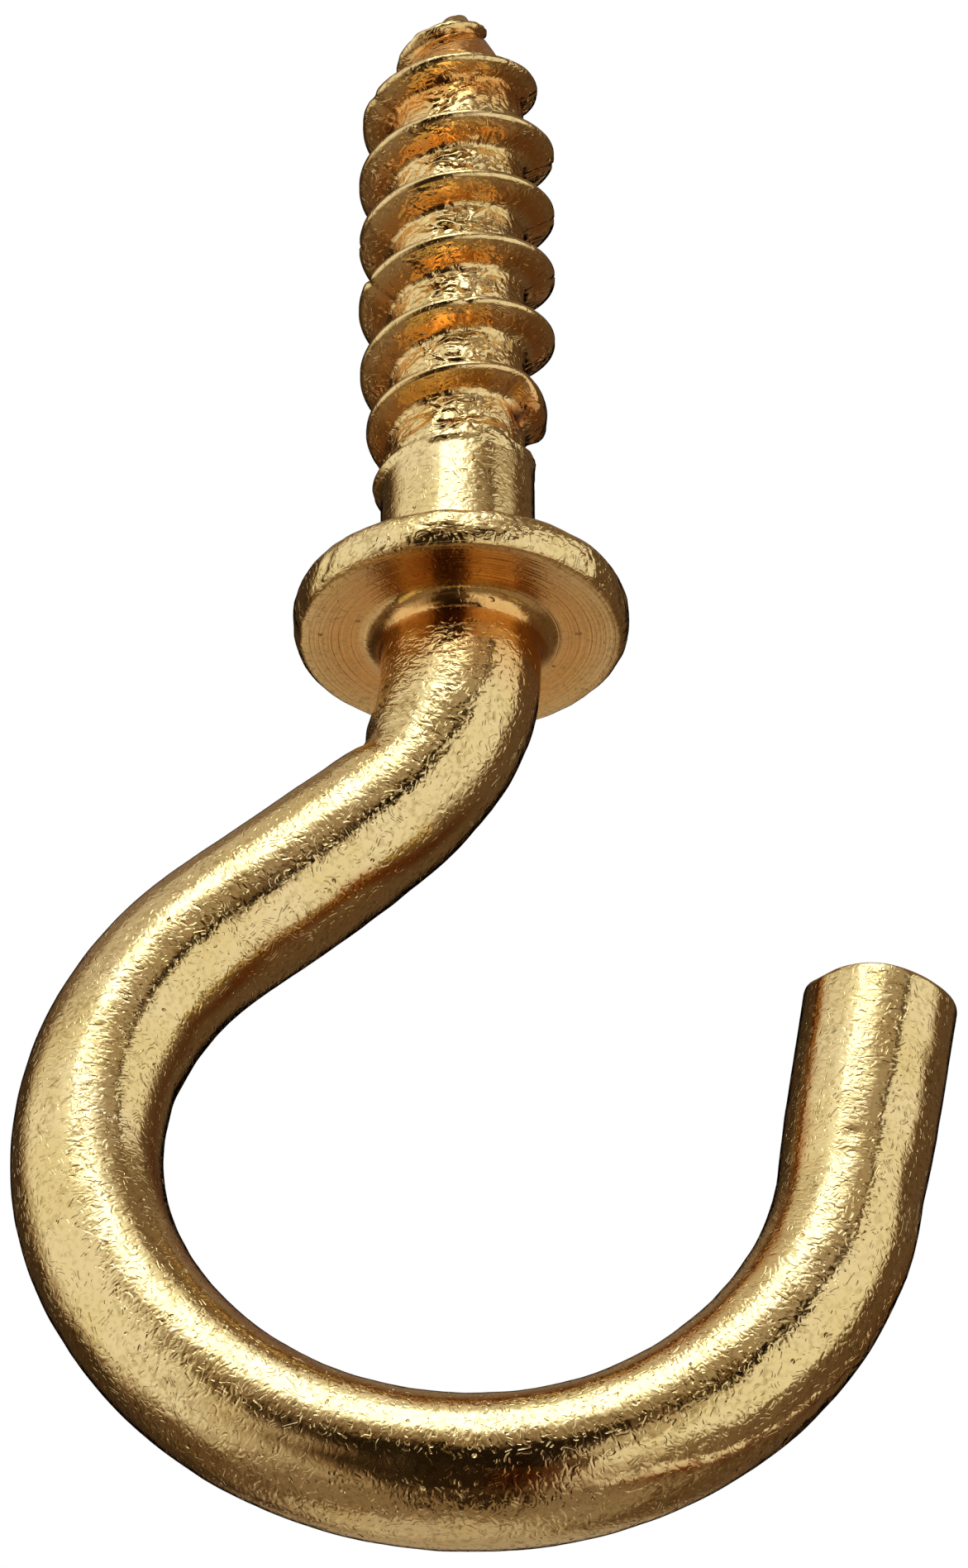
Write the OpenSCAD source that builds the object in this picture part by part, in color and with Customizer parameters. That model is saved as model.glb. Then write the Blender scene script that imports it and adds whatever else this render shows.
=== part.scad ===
// Shouldered cup hook: one length of round brass wire, upset to a collar, threaded above it and bent
// to an open bowl below it. The Z axis is the screw's axis and z = 0 is the collar's seating face.

/* [Hook wire] */
// Diameter of the wire that the hook is bent from
wire_d = 3; // [2:0.1:4]
// Centreline radius of the first bend, which leads away from the screw's axis
throat_r = 4.7; // [2.8:0.1:6]
// Turn of the first bend, in degrees
throat_turn = 53; // [35:1:65]
// Straight run from the first bend to the bowl
slope_len = 3.5; // [1:0.1:6]
// Centreline radius of the back of the bowl
back_r = 6.5; // [4:0.1:9]
// Turn of the back of the bowl, in degrees
back_turn = 76; // [55:1:92]
// Centreline radius of the bottom of the bowl, which is a little flatter
belly_r = 8; // [5:0.1:11]
// Turn of the bottom of the bowl, in degrees
belly_turn = 70; // [55:1:86]
// Centreline radius of the front of the bowl
front_r = 6.8; // [4:0.1:9]
// Turn of the front of the bowl, in degrees
front_turn = 78; // [60:1:93]
// Straight run from the bowl to the cut end
tip_len = 4.5; // [1:0.1:6]
// Lean of the cut end from square, with its near side (-Y) the shorter, in degrees
cut_lean = 8; // [0:1:15]
// Width of the bevel that softens the edge of the cut end
cut_bevel = 0.12; // [0.05:0.01:0.3]
// How far the wire's radius is drawn down in the throat, the back and the front of the bowl
thinning = 0.01; // [0.01:0.01:0.1]

/* [Collar and neck] */
// Diameter of the collar
collar_d = 6.75; // [5.5:0.05:9]
// Thickness of the collar
collar_t = 0.9; // [0.7:0.05:1.5]
// Radius of the rim on the seating side
rim_top_r = 0.3; // [0.1:0.05:0.45]
// Radius of the rim on the hook side
rim_under_r = 0.15; // [0.05:0.05:0.2]
// Diameter of the smooth neck under the collar
neck_d = 3.2; // [2.4:0.1:4]
// Length of the smooth neck
neck_len = 0.5; // [0.45:0.05:1.5]
// Length of the taper from the neck to the wire
neck_taper = 0.3; // [0.1:0.05:1]
// Radius of the hollow fillet between the collar and the neck
fillet_r = 0.4; // [0.1:0.05:0.45]

/* [Screw] */
// Height of the screw's point above the collar
screw_len = 15; // [10:0.5:25]
// Diameter of the plain shank
shank_d = 3.1; // [2.4:0.1:4]
// Length of the plain shank
shank_len = 3.2; // [1:0.1:5]
// Chamfer at the shank's end, where the thread begins
shank_chamfer = 0.12; // [0.05:0.01:0.15]
// Pitch of the single-start right-hand thread
pitch = 1.59; // [1.2:0.01:2]
// Angle from +X at which the thread starts, in degrees
thread_phase = 63; // [0:1:359]
// How far the crest stands proud of the shank
crest_rise = 0.45; // [0.2:0.05:0.6]
// How far the root is sunk below the shank
root_sink = 0.18; // [0.16:0.01:0.3]
// Width of the flat along the crest
crest_w = 0.13; // [0.06:0.01:0.25]
// Lean of each flank from square to the axis, in degrees
flank_lean = 28; // [15:1:32]
// Turns over which the thread grows to its full height
runout_turns = 0.6; // [0.3:0.1:2]
// Length over which the crest draws in to the gimlet point
point_len = 4; // [2.5:0.1:6]
// Length over which the core draws in to its blunt end
cone_len = 2.6; // [1.5:0.1:4]
// How full the core's point is: 1 is a straight cone, and more is a rounder ogive
core_fullness = 1.4; // [1:0.1:2]
// Radius of the blunt end of the core
blunt_r = 0.25; // [0.1:0.05:0.4]

/* [Hidden] */
BRASS = "goldenrod";
$fn = 64;

wire_r = wire_d / 2;
bent_r = wire_r - thinning;
// Length by which the full wire laps over the thinned wire at each end of a bend
lap = 0.1;
shank_r = shank_d / 2;
root_r = shank_r - root_sink;
crest_r = shank_r + crest_rise;

// The wire's path lies in the XZ plane as [x, z] points. A heading is its direction, in degrees from +X.
function unit(a) = [cos(a), sin(a)];
// Centre and end of an arc that leaves p with a heading and turns by turn, counter-clockwise if positive
function arc_centre(p, heading, r, turn) =
    p + r * sign(turn) * unit(heading + 90);
function arc_end(p, heading, r, turn) =
    arc_centre(p, heading, r, turn) + r * sign(turn) * unit(heading + turn - 90);

down = -90;
neck_end = [0, -collar_t - neck_len - neck_taper];
slope_start = arc_end(neck_end, down, throat_r, -throat_turn);
slope_heading = down - throat_turn;
back_start = slope_start + slope_len * unit(slope_heading);
belly_start = arc_end(back_start, slope_heading, back_r, back_turn);
belly_heading = slope_heading + back_turn;
front_start = arc_end(belly_start, belly_heading, belly_r, belly_turn);
front_heading = belly_heading + belly_turn;
tip_start = arc_end(front_start, front_heading, front_r, front_turn);
tip_heading = front_heading + front_turn;

// The thread is a helical grid, with four vertices round the ridge at each step
STEPS = 36;
flank_w = (crest_r - root_r) * tan(flank_lean);
ridge_w = crest_w + 2 * flank_w;
thread_start = shank_len + ridge_w / 2;
thread_end = screw_len - blunt_r;
last = floor((thread_end - ridge_w / 2 - thread_start) / pitch * STEPS);
core_foot = shank_len - 0.5;
fade_turns = 0.3;
crest_fullness = 2.5;

// Ogive that grows from 0 at its point to 1 at the given length from it
function ogive(from_point, length, fullness) =
    1 - pow(1 - min(1, max(0, from_point) / length), fullness);
// Radius of the core at height z: straight, then an ogive to the blunt end
function core_at(z) =
    blunt_r + (root_r - blunt_r) * ogive(thread_end - z, cone_len, core_fullness);
// Radius of the full crest at height z: straight, then an ogive to the point
function full_crest_at(z) = crest_r * ogive(screw_len - z, point_len, crest_fullness);
// Share of the full height at step i: the ridge grows out of the core and sinks back into it at the point
function growth(i) = min(1, i / STEPS / runout_turns, (last - i) / STEPS / fade_turns);
function crest_at(i, z) = core_at(z) + growth(i) * max(0, full_crest_at(z) - core_at(z));
function ridge_z(i) = thread_start + pitch * i / STEPS;
function polar(r, i, z) = [r * cos(360 * i / STEPS), r * sin(360 * i / STEPS), z];
// The ridge at step i: foot of the lower flank, both edges of the crest, foot of the upper flank
function ridge(i) =
    let (z = ridge_z(i), foot = ridge_w / 2, land = crest_w / 2)
    [
        polar(core_at(z - foot), i, z - foot),
        polar(crest_at(i, z), i, z - land),
        polar(crest_at(i, z), i, z + land),
        polar(core_at(z + foot), i, z + foot)
    ];
// A last turn of single vertices closes the core above the ridge
function rim(i) =
    let (z = min(ridge_z(i) - ridge_w / 2, thread_end))
    polar(core_at(z), i, z);
// Number of vertex j at step i: the fifth vertex of a step is the first of the step one turn on
function vertex(i, j) =
    j == 4 ? vertex(i + STEPS, 0) : i <= last ? 4 * i + j : 3 * (last + 1) + i;

module thread() {
    ridges = [for (i = [0:last]) each ridge(i)];
    rims = [for (i = [last + 1:last + STEPS]) rim(i)];
    base = [for (i = [0:STEPS - 1]) polar(root_r, i, core_foot)];
    first_base = len(ridges) + len(rims);
    apex = first_base + STEPS;

    flanks = [for (i = [0:last - 1], j = [0:3])
        let (a = vertex(i, j), b = vertex(i, j + 1), c = vertex(i + 1, j + 1), d = vertex(i + 1, j))
        each [[a, b, c], [a, c, d]]];
    skirt = [for (i = [0:STEPS - 2])
        [first_base + i, vertex(i, 0), vertex(i + 1, 0), first_base + i + 1]];
    start_face = [first_base + STEPS - 1, vertex(STEPS - 1, 0),
        for (j = [4:-1:0]) vertex(0, j), first_base];
    cap = [for (i = [last:last + STEPS - 1]) [vertex(i, 0), apex, vertex(i + 1, 0)]];
    end_face = [apex, for (j = [0:4]) vertex(last, j)];
    underside = [for (i = [0:STEPS - 1]) first_base + i];

    rotate(thread_phase)
        polyhedron(
            concat(ridges, rims, base, [[0, 0, screw_len]]),
            concat(flanks, skirt, [start_face], cap, [end_face], [underside])
        );
}

// Half section of the turned part: neck, hollow fillet, collar and plain shank
module turned_section() {
    rim_r = collar_d / 2;
    neck_r = neck_d / 2;
    // taper from the wire, which laps over the throat, to the neck
    translate([0, neck_end[1] - lap]) square([wire_r, lap]);
    polygon([
        [0, neck_end[1]],
        [wire_r, neck_end[1]],
        [neck_r, neck_end[1] + neck_taper],
        [0, neck_end[1] + neck_taper]
    ]);
    translate([0, neck_end[1] + neck_taper]) square([neck_r, neck_len]);
    difference() {
        translate([0, -collar_t - fillet_r]) square([neck_r + fillet_r, fillet_r]);
        translate([neck_r + fillet_r, -collar_t - fillet_r]) circle(fillet_r);
    }
    // collar, with its rim rounded more on the seating side
    translate([0, -collar_t]) {
        square([rim_r - rim_top_r, collar_t]);
        square([rim_r - rim_under_r, collar_t - rim_top_r]);
        translate([0, rim_under_r]) square([rim_r, collar_t - rim_under_r - rim_top_r]);
        translate([rim_r - rim_under_r, rim_under_r]) circle(rim_under_r);
        translate([rim_r - rim_top_r, collar_t - rim_top_r]) circle(rim_top_r);
    }
    square([shank_r, shank_len - shank_chamfer]);
    polygon([
        [0, shank_len - shank_chamfer],
        [shank_r, shank_len - shank_chamfer],
        [shank_r - shank_chamfer, shank_len],
        [0, shank_len]
    ]);
}

// Straight full wire from p along a heading, lapped over the bends at its ends
module run(p, heading, length) {
    translate([p[0], 0, p[1]])
        rotate([0, 90 - heading, 0])
            translate([0, 0, -lap]) cylinder(h = length + 2 * lap, r = wire_r);
}

// Bent wire that leaves p with a heading and turns by turn, counter-clockwise if positive
module bend(p, heading, r, turn, section_r, lapped = 0) {
    c = arc_centre(p, heading, r, turn);
    more = lapped / r * 180 / PI;
    first = turn > 0 ? heading - 90 : heading + turn + 90;
    translate([c[0], 0, c[1]])
        rotate([90, 0, 0])
            rotate_extrude(angle = abs(turn) + 2 * more, start = first - more)
                translate([r, 0]) circle(section_r);
}

// Straight end of the wire, cut off at a lean and bevelled round the cut
module tip() {
    stock = 2 * wire_r;
    translate([tip_start[0], 0, tip_start[1]])
        rotate([0, 90 - tip_heading, 0])
            intersection() {
                translate([0, 0, -lap]) cylinder(h = tip_len + stock, r = wire_r);
                translate([0, 0, tip_len])
                    rotate([cut_lean, 0, 0])
                        rotate_extrude()
                            polygon([
                                [0, 0],
                                [wire_r - cut_bevel, 0],
                                [stock, wire_r - cut_bevel - stock],
                                [stock, -tip_len - stock],
                                [0, -tip_len - stock]
                            ]);
            }
}

module cup_hook() {
    color(BRASS) {
        thread();
        rotate_extrude() turned_section();
        bend(neck_end, down, throat_r, -throat_turn, bent_r);
        run(slope_start, slope_heading, slope_len);
        bend(back_start, slope_heading, back_r, back_turn, bent_r);
        bend(belly_start, belly_heading, belly_r, belly_turn, wire_r, lap);
        bend(front_start, front_heading, front_r, front_turn, bent_r);
        tip();
    }
}

cup_hook();
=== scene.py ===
"""Looks of a cup hook of tumbled brass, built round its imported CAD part.

Lengths are in millimetres and angles in degrees, and MM turns the finished points into metres.
"""

import math
from functools import partial, reduce

import bpy
import numpy as np
from mathutils import Matrix, Vector


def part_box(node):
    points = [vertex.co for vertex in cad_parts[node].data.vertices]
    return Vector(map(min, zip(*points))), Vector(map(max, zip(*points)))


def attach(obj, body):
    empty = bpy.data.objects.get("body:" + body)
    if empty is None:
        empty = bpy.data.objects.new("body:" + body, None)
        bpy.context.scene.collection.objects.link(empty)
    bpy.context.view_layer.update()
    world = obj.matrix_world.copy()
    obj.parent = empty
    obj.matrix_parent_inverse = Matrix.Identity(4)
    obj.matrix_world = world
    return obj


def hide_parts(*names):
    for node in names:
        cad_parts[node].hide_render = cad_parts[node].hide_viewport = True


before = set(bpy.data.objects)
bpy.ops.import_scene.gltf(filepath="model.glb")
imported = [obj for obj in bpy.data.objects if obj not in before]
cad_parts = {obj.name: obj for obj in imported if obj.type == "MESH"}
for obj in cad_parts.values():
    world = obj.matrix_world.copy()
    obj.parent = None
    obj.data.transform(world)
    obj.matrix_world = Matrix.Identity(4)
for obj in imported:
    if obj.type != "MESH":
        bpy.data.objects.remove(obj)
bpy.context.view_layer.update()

MM = 0.001
NODE = "cup_hook"
LOW, HIGH = (np.array(corner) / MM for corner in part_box(NODE))
# How far inside the CAD part's box every point stays
BOX_GAP = 0.001

# Wire, and its path in the XZ plane: each stretch is a radius and a turn, or a length and no turn
WIRE_R = 1.5
STRETCHES = [(4.7, -53), (3.5, 0), (6.5, 76), (8.0, 70), (6.8, 78), (4.5, 0)]
CUT_LEAN = 8
CUT_EDGE_R = 0.12

# Collar and neck
COLLAR_R = HIGH[1]
COLLAR_T = 0.9
RIM_TOP_R = 0.3
RIM_UNDER_R = 0.15
NECK_R = 1.6
FILLET_R = 0.42
NECK_END = -1.7

# Screw
POINT_Z = HIGH[2]
SHANK_R = 1.55
SHANK_LEN = 3.25
ROOT_R = 1.375
PITCH = 1.59
CREST_R = 2.0
CREST_W = 0.11
FLANK_SLOPE = math.tan(math.radians(28))
FIRST_RIDGE_Z = 3.32
POINT_LEN = 4.0
CREST_FULLNESS = 2.3
CONE_LEN = 2.5
CONE_FULLNESS = 1.4
# How far the screw stands to the left of the collar, and over which heights it moves there
AXIS_SHIFT = -0.05
SHIFT_HEIGHTS = (-0.01, 0.2)


# ---------------- numbers that repeat the same way each run
HASH_X, HASH_Y, HASH_Z = 73856093, 19349663, 83492791
HASH_SEED = 265443576
HASH_MIX = 1274126177


def lattice(cell, seed):
    """A steady pseudo-random number from -1 to 1 at each corner of a grid."""
    mixed = cell[:, 0] * HASH_X ^ cell[:, 1] * HASH_Y ^ cell[:, 2] * HASH_Z ^ (seed + 7) * HASH_SEED
    mixed = (mixed ^ mixed >> 13) * HASH_MIX & 0x7FFFFFFF
    return ((mixed ^ mixed >> 15) & 0xFFFF) / 0x7FFF - 1


def noise(points, size, seed):
    """Smooth noise from -1 to 1, whose lumps are about size across. size is a number or one for each axis."""
    spot = points / size
    cell = np.floor(spot).astype(np.int64)
    share = ease(spot - cell, 0, 1)
    total = np.zeros(len(points))
    for corner in np.ndindex(2, 2, 2):
        weight = np.prod(np.where(corner, share, 1 - share), axis=1)
        total += weight * lattice(cell + corner, seed)
    return total


def ease(x, start, end):
    """0 before start, 1 after end, and smooth between them."""
    t = np.clip((x - start) / (end - start), 0, 1)
    return t * t * (3 - 2 * t)


def span(x, start, full, fading, end):
    """0 outside start and end, 1 from full to fading, and smooth between them."""
    return ease(x, start, full) * (1 - ease(x, fading, end))


def hump(x, centre, width):
    """1 at the centre, and nothing a few widths away."""
    return np.exp(-(((x - centre) / width) ** 2))


def apart(angle, centre):
    """Signed difference of two angles, from -180 to 180."""
    return (angle - centre + 180) % 360 - 180


def facing(angle, centre, breadth):
    """1 at an angle, and nothing a few breadths away."""
    return hump(apart(angle, centre), 0, breadth)


def look_up(table, x):
    """Value at x in a table of pairs, straight between its rows."""
    return np.interp(x, *zip(*table))


def ogive(z, tip_z, length, fullness):
    """Share of the full radius at a height: 0 at the tip, and 1 from a length below it."""
    return 1 - (1 - np.clip((tip_z - z) / length, 0, 1)) ** fullness


def unit(angle):
    """Unit vector in the XZ plane at an angle from +X."""
    return np.array([np.cos(np.radians(angle)), np.sin(np.radians(angle))])


def angles(count):
    """Even steps round a full turn."""
    return np.arange(count) * 360 / count


def ring_of(radius, angle, height, shift=0.0):
    """Points round the Z axis."""
    angle = np.radians(angle)
    x = radius * np.cos(angle) + shift
    y = radius * np.sin(angle)
    return np.stack([x, y, np.broadcast_to(height, x.shape)], axis=1)


# ---------------- one closed skin, grown ring by ring
class Skin:
    """Points, their places on the unbent rod, their roughness from 0 to 1, and the faces between them."""

    def __init__(self):
        self.points, self.rod, self.rough, self.faces = [], [], [], []
        self.count = 0

    def add(self, points, rod, rough):
        """Adds points and returns their indices."""
        self.points.append(points)
        self.rod.append(rod)
        self.rough.append(np.broadcast_to(rough, len(points)).astype(float))
        indices = np.arange(self.count, self.count + len(points))
        self.count += len(points)
        return indices

    def heights(self):
        """Height of every point so far."""
        return np.concatenate(self.points)[:, 2]

    def quads(self, below, above, closed=True):
        """Joins two chains of the same length: a lower and an upper ring, or a right and a left column."""
        a, b = below, above
        if closed:
            a, b = np.append(a, a[0]), np.append(b, b[0])
        self.faces += np.stack([a[:-1], a[1:], b[1:], b[:-1]], axis=1).tolist()

    def stitch(self, left, right, left_at, right_at, turned_over=False):
        """Joins two columns of any length with triangles, in the order of where their points are.

        Turned over, it joins a lower and an upper ring.
        """
        made = []
        i = j = 0
        while i < len(left) - 1 or j < len(right) - 1:
            right_is_done = j == len(right) - 1
            if right_is_done or (i < len(left) - 1 and left_at[i + 1] < right_at[j + 1]):
                made.append([int(left[i]), int(right[j]), int(left[i + 1])])
                i += 1
            else:
                made.append([int(left[i]), int(right[j]), int(right[j + 1])])
                j += 1
        self.faces += [face[::-1] for face in made] if turned_over else made

    def fan(self, ring, apex, upward):
        """Closes a ring with triangles to one point."""
        for a, b in zip(ring, np.roll(ring, -1)):
            self.faces.append([int(a), int(b), int(apex)] if upward else [int(b), int(a), int(apex)])


# ---------------- wire
# Places along the wire are measured from the neck. Seen from -Y, angles round it start at the left of its
# heading, and 270 is the side towards the viewer.
WIRE_COLUMNS = 112
RING_STEP = 0.1

# Radius of the wire by its place along it: thicker at the neck, drawn thin at the front
GIRTH = [(0, 1.6), (1, 1.585), (2.5, 1.53), (4.5, 1.52), (8, 1.51), (12, 1.485), (17, 1.48), (21, 1.495),
         (25, 1.5), (31, 1.49), (33.5, 1.46), (35.5, 1.43), (37, 1.48), (40, 1.5)]
# Dents: place along the wire, angle round it, half length, half breadth, depth
DENTS = [(2.95, 190, 0.5, 48, 0.20), (3.15, 204, 0.11, 30, 0.04), (3.4, 2, 1.6, 65, 0.14),
         (35.7, 203, 0.9, 28, 0.07), (36.7, 200, 0.12, 20, 0.02), (34.9, 196, 0.25, 20, 0.03),
         (38.1, 200, 0.5, 14, 0.02), (33.2, 190, 0.35, 18, 0.02), (4.2, 20, 0.4, 22, 0.03),
         (5.2, 10, 0.35, 25, 0.02), (11.8, 12, 0.4, 20, 0.03), (24.0, 250, 0.6, 14, 0.012),
         (13.9, 335, 0.3, 12, 0.02), (36.0, 268, 0.10, 4.5, 0.03), (38.7, 226, 0.07, 3, 0.03),
         (38.4, 219, 0.3, 8, 0.02)]

# The bending tool's mark in the lower front: its span along the wire, and its edge's angle by place along it
TOOL_SPAN = (26.8, 29.0, 33.5, 35.5)
TOOL_EDGE = [(26, 224), (27.8, 218), (28.7, 213), (29.4, 204), (30.7, 194), (32.9, 188), (36, 184)]
# The long facet it pressed in, which starts sharply at the edge and fades away round the wire
FACET_DEPTH = 0.045
FACET_SPAN = (-2.5, 1.5, 3, 26)
# The ridges it raised outside its edge: degrees from the edge, half breadth, height
TOOL_RIDGES = [(-3, 2.2, 0.012), (-15, 2.4, 0.016)]
# The strip it bruised: its span along the wire, degrees from the edge, half breadth, roughness
BRUISE_SPAN = (27.5, 29, 33.5, 35.5)
BRUISE = (-10, 8, 0.45)

# Roughness of the wire: a little all over, more before the tip, and most in the front bend, which has a
# place, half length and roughness
BODY_ROUGH = 0.09
REAR_ROUGH = 0.05
REAR_FADE = (30, 37)
FRONT_ROUGH = (33, 3, 0.1)
# It fades in below the neck
NECK_FADE = (-0.1, 0.3)
# The throat is crumpled up to its fade, and more on its inner side: angle, half breadth, roughness
THROAT_ROUGH = 0.25
THROAT_FADE = (2.5, 6)
THROAT_INSIDE = (205, 50, 0.2)
# The bowl's outer side is rubbed rough: its span along the wire, then angle, half breadth and roughness
BELLY_SPAN = (13, 18, 33, 36)
BELLY_OUTSIDE = (204, 22, 0.2)
# The bowl's front is polished by use: place along the wire, half length, angle, half breadth, how much
POLISHED = (23.5, 3.5, 240, 17, 0.85)

# The cut end: the roughness of its face, the rings on it, and the angles of the rings round its edge
CUT_FACE_ROUGH = 0.35
FACE_RINGS = 7
EDGE_ANGLES = (0, 20, 40, 60, 90)
# Its edge is sharper in front: angle, half breadth, share of the edge's radius that is missing
SHARP_FRONT = (262, 45, 0.7)
# The cut draws the wire's end back over this length
CUT_LEN = 2.5
# Its front edge is domed, and its right edge knocked back over a shorter length: angle, half breadth, height
CUT_DOME = (266, 38, 0.10)
CUT_KNOCK = (318, 16, 0.07)
KNOCK_LEN = 0.4


def stretch_length(size, turn):
    """Length of a bend of a radius and a turn, or of a straight."""
    return size * abs(math.radians(turn)) if turn else size


WIRE_LEN = sum(stretch_length(*stretch) for stretch in STRETCHES)


def travel(spot, heading, size, turn, distance):
    """Point and heading after a distance along one stretch."""
    if not turn:
        return spot + distance * unit(heading), heading
    radius = math.copysign(size, turn)
    centre = spot + radius * unit(heading + 90)
    heading += turn * distance / stretch_length(size, turn)
    return centre - radius * unit(heading + 90), heading


def spine(u):
    """Point and heading of the wire's centre line, u along it from the neck."""
    spot, heading = np.array([0.0, NECK_END]), -90.0
    for stretch in STRETCHES[:-1]:
        length = stretch_length(*stretch)
        if u <= length:
            return travel(spot, heading, *stretch, u)
        spot, heading = travel(spot, heading, *stretch, length)
        u -= length
    return travel(spot, heading, *STRETCHES[-1], u)


def wire_radius(u, phi):
    """Radius of the worn wire, u along it and phi round it."""
    radius = np.full(phi.shape, look_up(GIRTH, u))
    for place, angle, half_length, half_breadth, depth in DENTS:
        radius -= depth * hump(u, place, half_length) * facing(phi, angle, half_breadth)
    past_edge = apart(phi, look_up(TOOL_EDGE, u))
    facet = FACET_DEPTH * span(past_edge, *FACET_SPAN)
    ridges = sum(height * hump(past_edge, at, half_breadth) for at, half_breadth, height in TOOL_RIDGES)
    return radius + span(u, *TOOL_SPAN) * (ridges - facet)


def wire_rough(u, phi):
    """How crumpled the wire is: most in the throat, and least where the bowl's front was polished."""
    angle, half_breadth, rough = THROAT_INSIDE
    throat = (1 - ease(u, *THROAT_FADE)) * (THROAT_ROUGH + rough * facing(phi, angle, half_breadth))
    place, half_length, rough = FRONT_ROUGH
    body = BODY_ROUGH + REAR_ROUGH * (1 - ease(u, *REAR_FADE)) + rough * hump(u, place, half_length)
    angle, half_breadth, rough = BELLY_OUTSIDE
    belly = rough * span(u, *BELLY_SPAN) * facing(phi, angle, half_breadth)
    from_edge, half_breadth, rough = BRUISE
    bruise = rough * span(u, *BRUISE_SPAN) * facing(phi, look_up(TOOL_EDGE, u) + from_edge, half_breadth)
    place, half_length, angle, half_breadth, share = POLISHED
    polished = share * hump(u, place, half_length) * facing(phi, angle, half_breadth)
    return np.maximum((body + belly + bruise) * (1 - polished), throat) * ease(u, *NECK_FADE)


def drawn_back(u, phi, radius):
    """How far the wire's end lies back: the cut leans, with its near side the shorter."""
    near_edge = ease(radius, 0.5 * WIRE_R, WIRE_R - CUT_EDGE_R)
    dome_angle, dome_breadth, dome = CUT_DOME
    knock_angle, knock_breadth, knock = CUT_KNOCK
    leaning = -radius * np.sin(np.radians(phi)) * math.tan(math.radians(CUT_LEAN))
    domed = dome * near_edge * facing(phi, dome_angle, dome_breadth)
    back = (leaning - domed) * ease(u, WIRE_LEN - CUT_LEN, WIRE_LEN)
    knocked = knock * near_edge * facing(phi, knock_angle, knock_breadth)
    return back + knocked * ease(u, WIRE_LEN - KNOCK_LEN, WIRE_LEN)


def wire_ring(u, phi, inset):
    """Points of one ring, and their places on the unbent rod. inset draws it in from the wire's surface."""
    if inset <= CUT_EDGE_R:
        angle, half_breadth, share = SHARP_FRONT
        inset = inset * (1 - share * facing(phi, angle, half_breadth))
    radius = wire_radius(u, phi) - inset
    back = drawn_back(u, phi, radius)
    sideways = radius * np.cos(np.radians(phi))
    y = radius * np.sin(np.radians(phi))
    spot, heading = spine(u)
    x, z = spot[:, None] + np.outer(unit(heading + 90), sideways) - np.outer(unit(heading), back)
    return np.stack([x, y, z], axis=1), np.stack([sideways, y, NECK_END - u + back], axis=1)


def wire_stations():
    """Place along the wire and inset of each ring, from the neck: the wire, the cut's edge and its face."""
    stations = [(u, 0) for u in np.arange(0, WIRE_LEN - CUT_EDGE_R, RING_STEP)]
    for angle in EDGE_ANGLES:
        a = math.radians(angle)
        stations.append((WIRE_LEN - CUT_EDGE_R * (1 - math.sin(a)), CUT_EDGE_R * (1 - math.cos(a))))
    for k in range(FACE_RINGS):
        stations.append((WIRE_LEN, CUT_EDGE_R + (WIRE_R - CUT_EDGE_R) * (k + 1) / (FACE_RINGS + 1)))
    return stations


def grow_wire(skin):
    """Grows the wire from its cut end up to the neck, and returns the last ring."""
    phi = angles(WIRE_COLUMNS)
    previous = None
    for u, inset in reversed(wire_stations()):
        points, rod = wire_ring(u, phi, inset)
        rough = CUT_FACE_ROUGH if inset > CUT_EDGE_R else wire_rough(u, phi)
        ring = skin.add(points, rod, rough)
        if previous is None:
            middle = [values.mean(axis=0, keepdims=True) for values in (points, rod)]
            skin.fan(ring, skin.add(*middle, CUT_FACE_ROUGH)[0], upward=False)
        else:
            skin.quads(previous, ring)
        previous = ring
    return previous


# ---------------- collar
COLUMNS = 168
# Roughness of its parts, from the joint with the wire up to the seat
JOINT_ROUGH = 0.15
NECK_ROUGH = 0.04
UNDER_ROUGH = 0.05
EDGE_ROUGH = 0.1
RIM_ROUGH = 0.45
TOP_EDGE_ROUGH = 0.2
SEAT_ROUGH = 0.15
# The rim's wear starts this far out on the underside and on the seat, and is full here
WEAR_START_R = NECK_R + FILLET_R + 0.2
WEAR_FULL_R = COLLAR_R - 0.3
# Marks in the rim: angle, lean in degrees for each millimetre up, half breadth, height, half height, depth
RIM_MARKS = [(186, 0, 5, -0.75, 0.3, 0.07), (199, 0, 6, -0.8, 0.2, 0.05), (222, 18, 1.6, -0.5, 0.3, 0.05)]
# The headed rim is a little rounder than a turned one: below this height it draws in, at this rate
BARREL_Z = -0.42
BARREL = 0.5
# Depths of the rim's broad and fine lumps
RIM_LUMPS = 0.03
RIM_BUMPS = 0.015


def arc(middle_r, middle_z, radius, start, end, count):
    """Radius and height of points on an arc of the profile."""
    return [(middle_r + radius * math.cos(a), middle_z + radius * math.sin(a))
            for a in np.radians(np.linspace(start, end, count))]


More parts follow.
